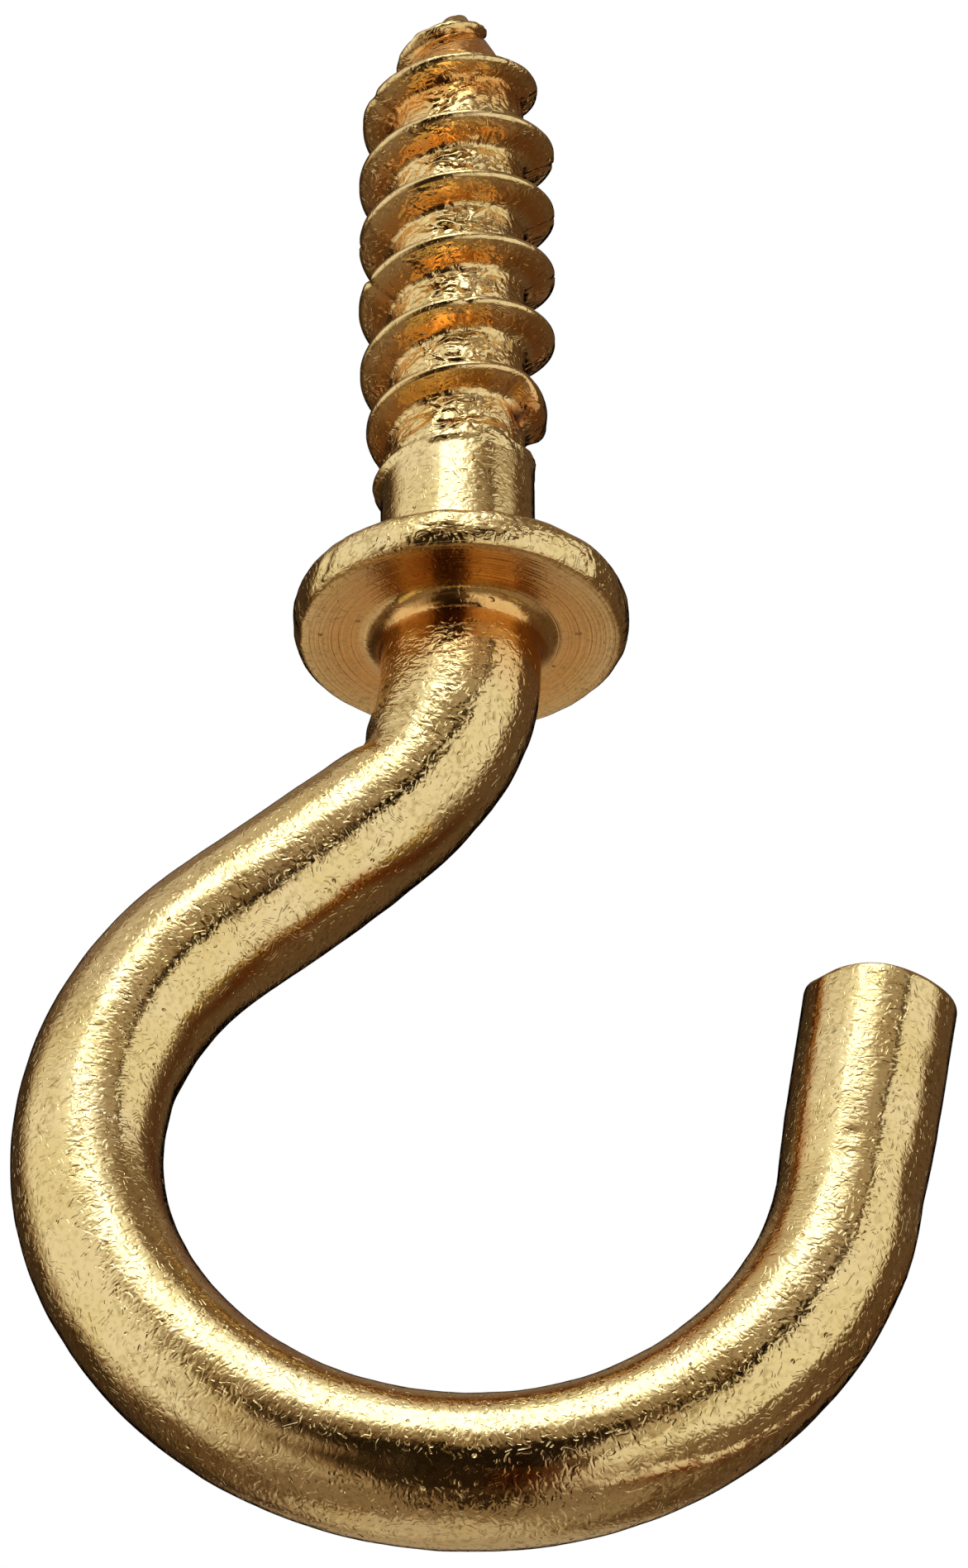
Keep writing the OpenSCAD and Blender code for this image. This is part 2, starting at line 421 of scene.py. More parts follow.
def collar_profile():
    """Radius, height and roughness of each ring of neck, fillet, collar and seat, from below."""
    neck_top = -COLLAR_T - FILLET_R
    fillet_end = NECK_R + FILLET_R
    rim_start = COLLAR_R - RIM_UNDER_R
    seat_end = COLLAR_R - RIM_TOP_R
    rows = [(NECK_R + 0.005, NECK_END + rise, JOINT_ROUGH) for rise in (0.06, 0.14)]
    rows += [(NECK_R, z, NECK_ROUGH) for z in np.linspace(NECK_END + 0.24, neck_top, 6)[:-1]]
    rows += [(r, z, NECK_ROUGH) for r, z in arc(fillet_end, neck_top, FILLET_R, 180, 90, 9)]
    rows += [(r, -COLLAR_T, UNDER_ROUGH) for r in np.linspace(fillet_end, rim_start, 12)[1:-1]]
    lower_edge = arc(rim_start, -COLLAR_T + RIM_UNDER_R, RIM_UNDER_R, -90, 0, 5)
    rows += [(r, z, rough) for (r, z), rough in zip(lower_edge, np.linspace(EDGE_ROUGH, RIM_ROUGH, 5))]
    rows += [(COLLAR_R, z, RIM_ROUGH) for z in np.linspace(-COLLAR_T + RIM_UNDER_R, -RIM_TOP_R, 7)[1:-1]]
    upper_edge = arc(seat_end, -RIM_TOP_R, RIM_TOP_R, 0, 90, 8)
    rows += [(r, z, rough) for (r, z), rough in zip(upper_edge, np.linspace(RIM_ROUGH, TOP_EDGE_ROUGH, 8))]
    rows += [(r, 0.0, SEAT_ROUGH) for r in np.linspace(seat_end, SHANK_R, 10)[1:-1]]
    return rows


def rim_wear(points, angle, height):
    """How much the rim is knocked in: lumps, two dents on the left and a scratch across its front left."""
    worn = RIM_LUMPS * (noise(points, 0.9, 11) + 0.5) + RIM_BUMPS * (noise(points, 0.3, 12) + 0.6)
    for middle, lean, half_breadth, z, half_height, depth in RIM_MARKS:
        mark = facing(angle, middle + lean * (height - z), half_breadth) * hump(height, z, half_height)
        worn += depth * mark
    on_rim = ease(height, -COLLAR_T - 0.02, -COLLAR_T + 0.12)
    return on_rim * worn + BARREL * np.maximum(0, BARREL_Z - height) ** 2


def grow_collar(skin, wire_end):
    """Grows neck, collar and seat on the wire's last ring, and returns the ring at the foot of the shank."""
    angle = angles(COLUMNS)
    previous = wire_end
    for radius, height, rough in collar_profile():
        wear = rim_wear(ring_of(radius, angle, height), angle, height)
        share = ease(radius, WEAR_START_R, WEAR_FULL_R)
        points = ring_of(radius - share * wear, angle, height)
        ring = skin.add(points, points.copy(), rough)
        if len(previous) == len(ring):
            skin.quads(previous, ring)
        else:
            # the wire has fewer columns, and its ring is the first to close
            below_at, above_at = np.append(angles(len(previous)), 360), np.append(angle, 360.01)
            below, above = np.append(previous, previous[0]), np.append(ring, ring[0])
            skin.stitch(below, above, below_at, above_at, turned_over=True)
        previous = ring
    return previous


# ---------------- screw
# Crest radius by degrees of turn from the first ridge's start: a tail left on the shank, then the full thread
CREST = [(-300, 1.3), (-230, 1.55), (-175, 1.72), (-120, 1.6), (-60, 1.57), (10, 1.58), (100, 1.70),
         (185, 1.85), (300, 1.93), (340, 1.86), (365, 1.80), (400, 1.9), (545, 1.97), (900, 2.0)]
LAST_TURN = 2640
# How far the worn crest stands over the point's true form at most
CREST_SPARE = 0.03
# Nicks in the crest: degrees of turn, half width in degrees, depth
NICKS = [(930, 2.0, 0.07), (1083, 1.2, 0.10), (1266, 2.5, 0.05), (1446, 1.4, 0.12), (1812, 1.6, 0.07),
         (2010, 4.0, 0.05), (640, 3.0, 0.06), (1180, 3.0, 0.04), (1560, 2.5, 0.05), (2290, 5.0, 0.05)]
# How the ridge leaves its helix, low at the second turn and high at the tail: turn, half width, rise
WANDER = [(455, 120, -0.17), (-180, 110, 0.26)]
# A slow wave in the rest: height, degrees of wave a degree of turn, and where it starts and is full
WAVE = 0.03
WAVE_RATE = 0.37
WAVE_START = (500, 900)
# The crushed flap of the second turn: its span in degrees of turn, extra width, drop and rounding
FLAP_SPAN = (318, 350, 372, 412)
FLAP_WIDTH = 0.68
FLAP_DROP = 0.26
FLAP_ROUNDING = 0.55
# The crest is also wider where it starts: degrees of turn, half width in degrees, extra width
WIDE_START = (60, 60, 0.12)

# The ragged shoulder where the thread's root starts: its slope's heights, and the lip pushed up at its edge
SHOULDER_RISE = (-0.02, 0.22)
LIP = 0.05
LIP_Z = -0.03
LIP_HEIGHT = 0.08
# It is higher on one side (angle, half breadth, rise), and its edge wanders by a broad and a fine raggedness
SHOULDER_HIGH = (290, 30, 0.12)
RAGGED = 0.10
FINE_RAGGED = 0.07
# The core's point ends below the hook's top, under the knob
CORE_TIP_Z = POINT_Z - 0.2
CORE_TIP_R = 0.27
# The blunt knob at the point: radius and height of each ring from the top, then the height of its middle
KNOB = [(0.22, -0.18), (0.21, -0.15), (0.17, -0.11), (0.11, -0.08)]
KNOB_ROUGH = 0.3
KNOB_TOP = -0.07
# It leans to the right by this much, from a foot lower down
KNOB_SHIFT = 0.08
KNOB_FOOT = -0.24


def ridge_z(turned):
    """Height of the ridge's middle: a helix with a low second turn, a raised tail and a slow wave."""
    z = FIRST_RIDGE_Z + PITCH * turned / 360
    for middle, half_width, rise in WANDER:
        z = z + rise * hump(turned, middle, half_width)
    return z + WAVE * np.sin(np.radians(turned * WAVE_RATE)) * ease(turned, *WAVE_START)


def crest_radius(turned):
    """Radius of the worn crest, and 0 before and after the thread."""
    point = CREST_R * ogive(ridge_z(turned), POINT_Z, POINT_LEN, CREST_FULLNESS)
    crest = np.minimum(look_up(CREST, turned), point + CREST_SPARE)
    for place, half_width, depth in NICKS:
        crest = crest - depth * hump(turned, place, half_width)
    return np.where((turned < CREST[0][0]) | (turned > LAST_TURN), 0, crest)


def core_radius(angle, z):
    """Radius of the shank, the shoulder, the straight root and the drawn-in point."""
    spot = ring_of(SHANK_R, angle, z)
    side, half_breadth, rise = SHOULDER_HIGH
    ragged = RAGGED * noise(spot, 0.5, 21) + FINE_RAGGED * noise(spot, 0.2, 22)
    above = z - (SHANK_LEN + ragged + rise * facing(angle, side, half_breadth))
    straight = SHANK_R - (SHANK_R - ROOT_R) * ease(above, *SHOULDER_RISE)
    lip = LIP * hump(above, LIP_Z, LIP_HEIGHT) * (0.5 + 0.6 * noise(spot, 0.3, 23))
    point = CORE_TIP_R + (ROOT_R - CORE_TIP_R) * ogive(z, CORE_TIP_Z, CONE_LEN, CONE_FULLNESS)
    return np.where(z > CORE_TIP_Z - CONE_LEN, point, straight + lip)


def screw_radius(angle, z):
    """Radius of the screw's surface at each angle and height."""
    angle = angle % 360
    radius = core_radius(angle, z)
    for turn in range(-1, int(LAST_TURN / 360) + 1):
        turned = angle + 360 * turn
        flap = span(turned, *FLAP_SPAN)
        start, half_width, wider = WIDE_START
        half = (CREST_W + FLAP_WIDTH * flap + wider * hump(turned, start, half_width)) / 2
        off_ridge = np.abs(z - ridge_z(turned) + FLAP_DROP * flap)
        rounding = (half - CREST_W / 2) * FLAP_ROUNDING * np.clip(off_ridge / half, 0, 1) ** 3
        ridge = crest_radius(turned) - rounding - np.maximum(0, off_ridge - half) / FLANK_SLOPE
        radius = np.maximum(radius, ridge)
    return radius


# Roughness of the screw. The root is crumpled, and most on its near side, which has an angle and half breadth
ROOT_BAND = 0.09
ROOT_ROUGH = 0.8
ROOT_FRONT = (276, 36)
# The point's root is less crumpled and the whole point a little rough, which fades in between these depths
POINT_DEPTHS = (-3.5, -2)
POINT_ROUGH = 0.25
# The shoulder's height above the shank's end, half height and roughness
SHOULDER_WEAR = (0.03, 0.26, 0.7)
# The shank is smooth but for a scratched strip: angle, lean in degrees a millimetre, half breadth, roughness
SHANK_ROUGH = 0.08
SHANK_SCRATCHED = (274, 6, 9, 0.22)
FLANK_ROUGH = 0.8


def screw_rough(angle, z, radius):
    """Root and shoulder are crumpled, and the flanks, the crest and the shank are nearly smooth."""
    near, near_breadth = ROOT_FRONT
    root = hump(radius, ROOT_R, ROOT_BAND) * ease(z, SHANK_LEN - 0.1, SHANK_LEN + 0.1)
    root = ROOT_ROUGH * root * (0.5 + 0.5 * facing(angle, near, near_breadth))
    point = ease(z, POINT_Z + POINT_DEPTHS[0], POINT_Z + POINT_DEPTHS[1])
    rise, half_height, rough = SHOULDER_WEAR
    shoulder = rough * hump(z, SHANK_LEN + rise, half_height)
    side, lean, half_breadth, rough = SHANK_SCRATCHED
    scratched = rough * facing(angle, side + lean * z, half_breadth)
    scratched = scratched * (1 - ease(z, SHANK_LEN - 0.3, SHANK_LEN))
    flank = span(radius, ROOT_R + 0.03, ROOT_R + 0.1, CREST_R - 0.2, CREST_R - 0.1)
    lumps = np.clip(noise(ring_of(radius, angle, z), 0.7, 24) + 0.1, 0, 1)
    lumps = lumps * ease(z, SHANK_LEN, SHANK_LEN + 0.75)
    everywhere = SHANK_ROUGH + scratched + shoulder + POINT_ROUGH * point
    return np.clip(everywhere + root * (1 - 0.5 * point) + FLANK_ROUGH * flank * lumps, 0, 1)


# The shank's rings end at this height. From there a strip winds up the screw, with a column at every step of
# turn. Its rows lie this far above and below the ridge's middle, and its lowest row is half a pitch below.
SHANK_RINGS_END = 1.9
SHANK_RINGS = 23
TURN_STEP = 360 / COLUMNS
HALF_ROWS = [0.055, 0.1, 0.15, 0.21, 0.27, 0.33, 0.385, 0.43, 0.49, 0.56, 0.635, 0.715]
STRIP_ROWS = [-PITCH / 2] + [-row for row in reversed(HALF_ROWS)] + [0.0] + HALF_ROWS
STRIP_START = 90
STRIP_END = LAST_TURN - 380
LAST_COLUMN = int((STRIP_END - STRIP_START) / TURN_STEP)
SKIRT_ROWS = 26
TOP_RING_Z = POINT_Z - 0.22


def strip_turn(column):
    """Degrees of turn at a column of the strip."""
    return STRIP_START + column * TURN_STEP


def add_screw(skin, angle, z):
    """Adds points of the screw's surface."""
    radius = screw_radius(angle, z)
    points = ring_of(radius, angle, z, AXIS_SHIFT * ease(z, *SHIFT_HEIGHTS))
    return skin.add(points, points.copy(), screw_rough(angle, z, radius))


def grow_shank(skin, foot):
    """Grows rings on the shank's foot, and returns the last one."""
    previous = foot
    for z in np.linspace(0, SHANK_RINGS_END, SHANK_RINGS + 1)[1:]:
        ring = add_screw(skin, angles(COLUMNS), np.full(COLUMNS, z))
        skin.quads(previous, ring)
        previous = ring
    return previous


def grow_strip(skin):
    """Winds the strip up the screw. Returns its columns, and its lowest row with one more turn of it."""
    columns = []
    for c in range(LAST_COLUMN + 1):
        z = ridge_z(strip_turn(c)) + np.array(STRIP_ROWS)
        columns.append(add_screw(skin, np.full(len(z), strip_turn(c)), z))
    lowest = [column[0] for column in columns]
    for c in range(LAST_COLUMN + 1, LAST_COLUMN + 1 + COLUMNS):
        z = ridge_z(strip_turn(c)) + STRIP_ROWS[0]
        lowest.append(add_screw(skin, np.array([strip_turn(c)]), np.array([z]))[0])
    for c in range(LAST_COLUMN):
        left = np.append(columns[c], lowest[c + COLUMNS])
        right = np.append(columns[c + 1], lowest[c + 1 + COLUMNS])
        skin.quads(right, left, closed=False)
    return columns, lowest


def grow_skirt(skin, lower, upper, turned):
    """Fills the stretch between two rows of points, one above the other, and returns its columns."""
    height = skin.heights()
    columns = []
    for start, end, angle in zip(lower, upper, turned):
        z = np.linspace(height[start], height[end], SKIRT_ROWS + 1)[1:-1]
        middle = add_screw(skin, np.full(len(z), angle), z)
        columns.append(np.concatenate([[start], middle, [end]]))
    for left, right in zip(columns, columns[1:]):
        skin.quads(right, left, closed=False)
    return columns


def grow_knob(skin, top_ring, angle):
    """Closes the point with a blunt knob that leans to the right."""
    previous = top_ring
    for radius, drop in KNOB:
        lean = KNOB_SHIFT * (drop - KNOB_FOOT) / (KNOB[-1][1] - KNOB_FOOT)
        points = ring_of(radius, angle, POINT_Z + drop, AXIS_SHIFT + lean)
        ring = skin.add(points, points.copy(), KNOB_ROUGH)
        skin.quads(previous, ring)
        previous = ring
    apex = np.array([[AXIS_SHIFT + KNOB_SHIFT, 0, POINT_Z + KNOB_TOP]])
    skin.fan(previous, skin.add(apex, apex.copy(), KNOB_ROUGH)[0], upward=True)


def grow_screw(skin, foot):
    """Grows shank, thread and point on the ring at the shank's foot."""
    shank_end = grow_shank(skin, foot)
    columns, lowest = grow_strip(skin)

    # lower skirt, from the shank's last ring up to the strip's first turn
    below = np.roll(shank_end, -round(STRIP_START / TURN_STEP))
    first_turn = [strip_turn(c) % 360 for c in range(COLUMNS)]
    lower = grow_skirt(skin, below, lowest[:COLUMNS], first_turn)
    # upper skirt, from the strip's last turn up to a ring near the point
    last_turn = [strip_turn(LAST_COLUMN + 1 + c) % 360 for c in range(COLUMNS)]
    top_ring = add_screw(skin, np.array(last_turn), np.full(COLUMNS, TOP_RING_Z))
    upper = grow_skirt(skin, lowest[-COLUMNS:], top_ring, last_turn)

    # seams, where a turn's end meets its start
    height = skin.heights()
    strip_foot = np.concatenate([lower[0], columns[0][1:], [lowest[COLUMNS]]])
    strip_end = np.concatenate([columns[-1], upper[-1]])
    for left, right in ((lower[-1], strip_foot), (strip_end, upper[0])):
        skin.stitch(left, right, height[left], height[right])

    grow_knob(skin, top_ring, np.array(last_turn))


# ---------------- the whole skin, crumpled
# Depths of the crumpling: even lumps everywhere, and fine lumps, broad lumps and wrinkles where it is rough
EVEN_DEPTH = 0.004
FINE_DEPTH = 0.012
BROAD_DEPTH = 0.02
WRINKLE_DEPTH = 0.02


def normals_of(points, faces):
    """Unit normal at each point."""
    total = np.zeros_like(points)
    for face in (faces[:, [0, 1, 2]], faces[:, [0, 2, 3]]):
        a, b, c = (points[face[:, k]] for k in range(3))
        flat = np.cross(b - a, c - a)
        for k in range(3):
            np.add.at(total, face[:, k], flat)
    return total / np.maximum(np.linalg.norm(total, axis=1, keepdims=True), 1e-12)


def crumple(points, rod, rough, faces):
    """Pushes each point in or out along its normal, as its roughness says."""
    quads = np.array([face if len(face) == 4 else face + face[-1:] for face in faces])
    fine = noise(rod, 0.16, 31) + 0.6 * noise(rod, 0.09, 32)
    broad = noise(rod, 0.45, 33)
    wrinkle = -np.abs(noise(rod, (0.3, 0.3, 0.13), 34))
    crumpled = FINE_DEPTH * fine + BROAD_DEPTH * broad + WRINKLE_DEPTH * wrinkle
    depth = EVEN_DEPTH * (broad - 1) + rough * crumpled
    return points + normals_of(points, quads) * depth[:, None]


# Painted shade and painted orange reflection, partly darker oxide: in the flanks it lies between a line over
# the root and one under the crest, and the root's own is slight
SHADE_LINE_FULLNESS = 1.7
ROOT_SHADE_AND_OXIDE = 0.08
# The collar's underside and the throat, with painted shade and some oxide: span of heights, depth, and what
# the fillet and the edge lose of it
UNDER_SPAN = (-3.2, -1.5, -COLLAR_T + 0.03, -COLLAR_T + 0.1)
UNDER_SHADE_AND_OXIDE = 0.85
FILLET_LOSS = 0.7
UNDER_EDGE_LOSS = 0.7


def shade_and_oxide_of(rod):
    """How deep in the thread's flanks or under the collar each point sits, from 0 to 1: its share of painted
    shade and painted orange reflection, partly darker oxide.
    """
    z, off_axis = rod[:, 2], np.hypot(rod[:, 0], rod[:, 1])
    root = ROOT_R * ogive(z, POINT_Z, POINT_LEN, SHADE_LINE_FULLNESS)
    crest = CREST_R * ogive(z, POINT_Z, POINT_LEN, CREST_FULLNESS)
    flank = span(off_axis, root + 0.02, root + 0.14, root + 0.22, crest - 0.02)
    thread = ease(z, SHANK_LEN + 0.15, SHANK_LEN + 0.4) * (ROOT_SHADE_AND_OXIDE + (1 - ROOT_SHADE_AND_OXIDE) * flank)
    # the fillet catches light, so it gets less painted shade
    fillet = hump(off_axis, NECK_R + 0.25, 0.16)
    under = span(z, *UNDER_SPAN) * (1 - FILLET_LOSS * fillet)
    under = under * (1 - UNDER_EDGE_LOSS * ease(off_axis, 2.2, COLLAR_R))
    return np.clip(thread + UNDER_SHADE_AND_OXIDE * under, 0, 1)


# Painted red-brown reflection band down the throat and the inside of the bowl, where the reflection turns
# dark: its angle by place along it, and half breadth
REFLECTION_BAND = [(2.5, 352), (3.4, 344), (4.3, 338), (6, 334), (7.5, 334), (9, 340), (11, 342), (17, 331),
              (20, 324), (24, 303), (33, 305), (35, 311), (40, 316)]
REFLECTION_BAND_BREADTH = 7
REFLECTION_BAND_START = (2.4, 3.4)
# Painted red-brown reflection band along the tool's mark: its span along the wire, degrees from the edge,
# half breadth
TOOL_BAND_SPAN = (27, 28.5, 33.5, 35.5)
TOOL_BAND = (-4, 5)
# Red-brown patch under the bowl: place along the wire, half length, angle, half breadth, strength
RED_PATCH = (26.3, 1.2, 234, 13, 0.9)
# Painted red-brown shade under the collar's front: distance from the axis, half width, angle, half breadth,
# strength
COLLAR_SHADE = (2.75, 0.55, 266, 38, 0.95)
# Painted near-black shade in the torn flap and in a crack of the shoulder: angle, half breadth, height, half
# height, strength
SHADED_CRACKS = [(334, 10, 4.1, 0.22, 2), (269, 4, SHANK_LEN + 0.1, 0.09, 1.6)]


def painted_shade_and_patch_of(rod):
    """Share of painted red-brown reflection and shade, and of the red-brown patch, from 0 to 1. Beyond 1 it
    is painted near-black shade in cracks.
    """
    z, off_axis = rod[:, 2], np.hypot(rod[:, 0], rod[:, 1])
    along = NECK_END - z
    angle = np.degrees(np.arctan2(rod[:, 1], rod[:, 0]))
    wander, breadth = 4 * noise(rod, 0.8, 41), REFLECTION_BAND_BREADTH + 3 * noise(rod, 0.4, 42)
    # painted red-brown reflection bands, down the wire and along the tool's mark
    line = facing(angle, look_up(REFLECTION_BAND, along) + wander, breadth)
    line *= ease(along, *REFLECTION_BAND_START) * (0.85 + 0.3 * noise(rod, 1.5, 43))
    from_edge, half_breadth = TOOL_BAND
    tool = facing(angle, look_up(TOOL_EDGE, along) + from_edge, half_breadth)
    tool *= span(along, *TOOL_BAND_SPAN) * (0.65 + 0.5 * noise(rod, 0.22, 45))
    place, half_length, side, half_breadth, strength = RED_PATCH
    patch = strength * hump(along, place, half_length) * facing(angle, side, half_breadth)
    patch *= 1 + 0.4 * noise(rod, 0.4, 44)
    # painted red-brown shade under the collar's front
    distance, half_width, side, half_breadth, strength = COLLAR_SHADE
    collar = strength * hump(off_axis, distance, half_width) * facing(angle, side, half_breadth)
    collar *= hump(z, -COLLAR_T, 0.05)
    painted_shade_and_patch = np.clip(np.maximum(line, patch) + collar + tool, 0, 1)
    # painted near-black shade in the flap and the shoulder's crack, above 1
    for side, half_breadth, height, half_height, strength in SHADED_CRACKS:
        painted_shade_and_patch += strength * facing(angle, side, half_breadth) * hump(z, height, half_height)
    return np.clip(painted_shade_and_patch, 0, 2)


def build_hook():
    """Makes the hook's mesh, with what its material needs to know at each point."""
    skin = Skin()
    grow_screw(skin, grow_collar(skin, grow_wire(skin)))
    rod, rough = np.concatenate(skin.rod), np.concatenate(skin.rough)
    points = crumple(np.concatenate(skin.points), rod, rough, skin.faces)
    # nothing stands proud of the CAD part's box
    points = np.clip(points, LOW + BOX_GAP, HIGH - BOX_GAP)
    mesh = bpy.data.meshes.new("brass_hook")
    mesh.from_pydata((points * MM).tolist(), [], skin.faces)
    mesh.shade_smooth()
    told = {"rough": rough, "shade_and_oxide": shade_and_oxide_of(rod), "painted_shade_and_patch": painted_shade_and_patch_of(rod), "rod": rod}
    for name, values in told.items():
        kind, field = ("FLOAT", "value") if values.ndim == 1 else ("FLOAT_VECTOR", "vector")
        attribute = mesh.attributes.new(name, kind, "POINT")
        attribute.data.foreach_set(field, values.astype(np.float32).ravel())
    made = bpy.data.objects.new("brass_hook", mesh)
    bpy.context.scene.collection.objects.link(made)
    return made


# ---------------- material
class Tree:
    """Short hand for the nodes of a material or a world."""

    def __init__(self, owner):
        owner.use_nodes = True
        self.tree = owner.node_tree
        self.tree.nodes.clear()

    def node(self, kind, inputs=None, **settings):
        """Adds a node. An input is a value, or the socket that feeds it."""
        made = self.tree.nodes.new("ShaderNode" + kind)
        for name, value in settings.items():
            setattr(made, name, value)
        for name, value in (inputs or {}).items():
            self.feed(made.inputs[name], value)
        return made

    def feed(self, socket, value):
        if isinstance(value, bpy.types.NodeSocket):
            self.tree.links.new(value, socket)
        else:
            socket.default_value = value

    def attribute(self, name, output):
        return self.node("Attribute", attribute_name=name).outputs[output]

    def math(self, operation, a, b=0.0, c=0.0):
        return self.node("Math", {0: a, 1: b, 2: c}, operation=operation).outputs[0]

    def product(self, *factors):
        return reduce(partial(self.math, "MULTIPLY"), factors)

    def add_up(self, *terms):
        return reduce(partial(self.math, "ADD"), terms)

    def between(self, value, low, high, start=0.0, end=1.0):
        """Goes from start to end as the value goes from low to high."""
        limits = {"Value": value, "From Min": low, "From Max": high, "To Min": start, "To Max": end}
        return self.node("MapRange", limits).outputs["Result"]

    def blend(self, share, a, b):
        """Colour a where the share is 0, and b where it is 1."""
        made = self.node("Mix", {"Factor": share}, data_type="RGBA")
        for name, value in (("A", a), ("B", b)):
            self.feed(next(s for s in made.inputs if s.name == name and s.type == "RGBA"), value)
        return next(s for s in made.outputs if s.type == "RGBA")

    def grain(self, vector, scale, detail=2.0, stretch=(1, 1, 1), distortion=0.0, shift=0.0):
        """Noise with scale lumps to the millimetre, moved along by shift."""
        place = self.node("Mapping", {"Vector": vector, "Scale": stretch, "Location": (shift,) * 3})
        settings = {"Vector": place.outputs[0], "Scale": scale, "Detail": detail, "Distortion": distortion}
        return self.node("TexNoise", settings).outputs["Fac"]

    def off_middle(self, value):
        """How far a value from 0 to 1 is from a half."""
        return self.math("ABSOLUTE", self.math("SUBTRACT", value, 0.5))


BRASS = (0.80, 0.62, 0.27, 1)
BRASS_PALE = (0.84, 0.67, 0.34, 1)
# deep orange of the painted shade and painted reflection in the thread's flanks and under the collar, partly
# oxide
BRASS_SHADE_AND_OXIDE = (0.76, 0.38, 0.10, 1)
BRASS_DULL = (0.46, 0.33, 0.12, 1)
# red-brown of the painted reflection bands, the painted shade under the collar and the red-brown patch
BRASS_RED = (0.45, 0.17, 0.04, 1)
# near-black of the painted shade in the flap and the shoulder's crack
CRACK_SHADE = (0.07, 0.025, 0.01, 1)

# Heights of the fine relief in millimetres, and below 0 for what goes in
BUMPS = 0.0037
FINE_BUMPS = 0.0012
SCRATCHES = -0.0052
KNOCKS = -0.006
PITS = -0.022
FOIL = 0.24
CREASES = 0.10
TURNING_RINGS = 0.012
# Roughness of the reflections: of the brass from place to place, and how much more on the turned underside
SATIN = (0.08, 0.14)
TURNED_SATIN = 0.06


def scratches(t, rod):
    """1 on short curved scratches: level lines of one pattern, cut into pieces by a finer one."""
    level = t.math("MULTIPLY", t.grain(rod, 1.6, 1.0, (1, 1, 0.8), 0.4), 14.0)
    piece = t.grain(rod, 8.5, 0.0, (1, 1, 1), 0.0, 3.0)
    line = t.between(t.off_middle(t.math("FRACT", level)), 0.04, 0.2, 1.0, 0.0)
    return t.product(line, t.between(piece, 0.55, 0.6))


def knocks(t, rod, scale, reach, share, wobble, slant=1.0):
    """1 in the middle of small knocks, one in some of the cells of a pattern.

    reach is their size in cells, share is how many cells have one, wobble is how finely their outline is
    bent, and slant draws them out sideways.
    """
    bend = t.node("TexNoise", {"Vector": rod, "Scale": 3.0 * wobble, "Detail": 1.0}).outputs["Color"]
    bent = t.node("VectorMath", {0: bend, 1: (0.22 / wobble,) * 3, 2: rod}, operation="MULTIPLY_ADD")
    drawn_out = {"Vector": bent.outputs[0], "Scale": (1 / slant, 1, slant), "Rotation": (0.3, 0.5, 0.2)}
    place = t.node("Mapping", drawn_out).outputs[0]
    cells = t.node("TexVoronoi", {"Vector": place, "Scale": scale, "Randomness": 1.0}, feature="F1")
    draw = t.node("SeparateColor", {"Color": cells.outputs["Color"]}).outputs[0]
    return t.product(t.between(cells.outputs["Distance"], reach * 0.2, reach, 1.0, 0.0),
                     t.math("GREATER_THAN", draw, 1 - share))


def turning_marks(t, rod):
    """Where the collar's underside is turned, and its fine rings."""
    x, y, z = t.node("SeparateXYZ", {"Vector": rod}).outputs
    off_axis = t.math("SQRT", t.add_up(t.product(x, x), t.product(y, y)))
    settings = {"W": off_axis, "Scale": 14.0, "Detail": 3.0}
    rings = t.node("TexNoise", settings, noise_dimensions="1D").outputs["Fac"]
    under = t.math("LESS_THAN", t.math("ABSOLUTE", t.math("ADD", z, COLLAR_T)), 0.06)
    turned = t.product(under, t.math("GREATER_THAN", off_axis, NECK_R + FILLET_R * 0.8))
    return turned, t.product(rings, turned)


def relief(t, rod, rough, rings):
    """Height of the fine relief: tumbling marks all over, and foil and creases where it is crushed."""
    handled = t.between(rough, 0.02, 0.12, 0.1, 1.0)
    foil = t.off_middle(t.grain(rod, 1.8, 1.0, (1, 1, 1.3), 0.8, 7.0))
    creases = t.off_middle(t.grain(rod, 4.2, 1.0, (1, 1, 1.5), 0.5, 5.0))
    return t.add_up(t.product(t.grain(rod, 4.0, 2.0, (1, 1, 1), 0.8), BUMPS),
                    t.product(t.grain(rod, 15.0, 1.0), FINE_BUMPS),
                    t.product(scratches(t, rod), handled, SCRATCHES),
                    t.product(knocks(t, rod, 5.0, 0.34, 0.6, 1.6, 1.7), handled, KNOCKS),
                    t.product(knocks(t, rod, 2.3, 0.12, 0.55, 1.0), PITS),
                    t.product(foil, rough, rough, FOIL),
                    t.product(creases, rough, t.math("SUBTRACT", 1.1, rough), CREASES),
                    t.product(rings, TURNING_RINGS))


def tint(t, rod, shade_and_oxide, painted_shade_and_patch):
    """Colour of the brass: paler patches, painted shade and orange reflection in recesses with some oxide,
    then painted red-brown reflection and shade and a red-brown patch, fine dull specks, and painted
    near-black shade in cracks.
    """
    pale = t.between(t.grain(rod, 0.7, 4.0), 0.35, 0.65)
    # brass with painted shade and painted orange reflection in its hollows, partly oxide
    shaded_brass = t.blend(shade_and_oxide, t.blend(pale, BRASS, BRASS_PALE), BRASS_SHADE_AND_OXIDE)
    speck = t.between(t.grain(rod, 9.0, 2.0), 0.48, 0.66)
    # the specks are thicker in some places than in others
    thick = t.between(t.grain(rod, 1.1, 2.0, (1, 1, 1), 0.0, 8.0), 0.35, 0.65, 0.25, 0.75)
    # painted red-brown reflection and shade, and the red-brown patch, under fine dull specks
    worn = t.blend(t.product(speck, thick), t.blend(painted_shade_and_patch, shaded_brass, BRASS_RED), BRASS_DULL)
    # painted near-black shade in the flap and the shoulder's crack
    return t.blend(t.between(painted_shade_and_patch, 1.0, 1.9), worn, CRACK_SHADE)


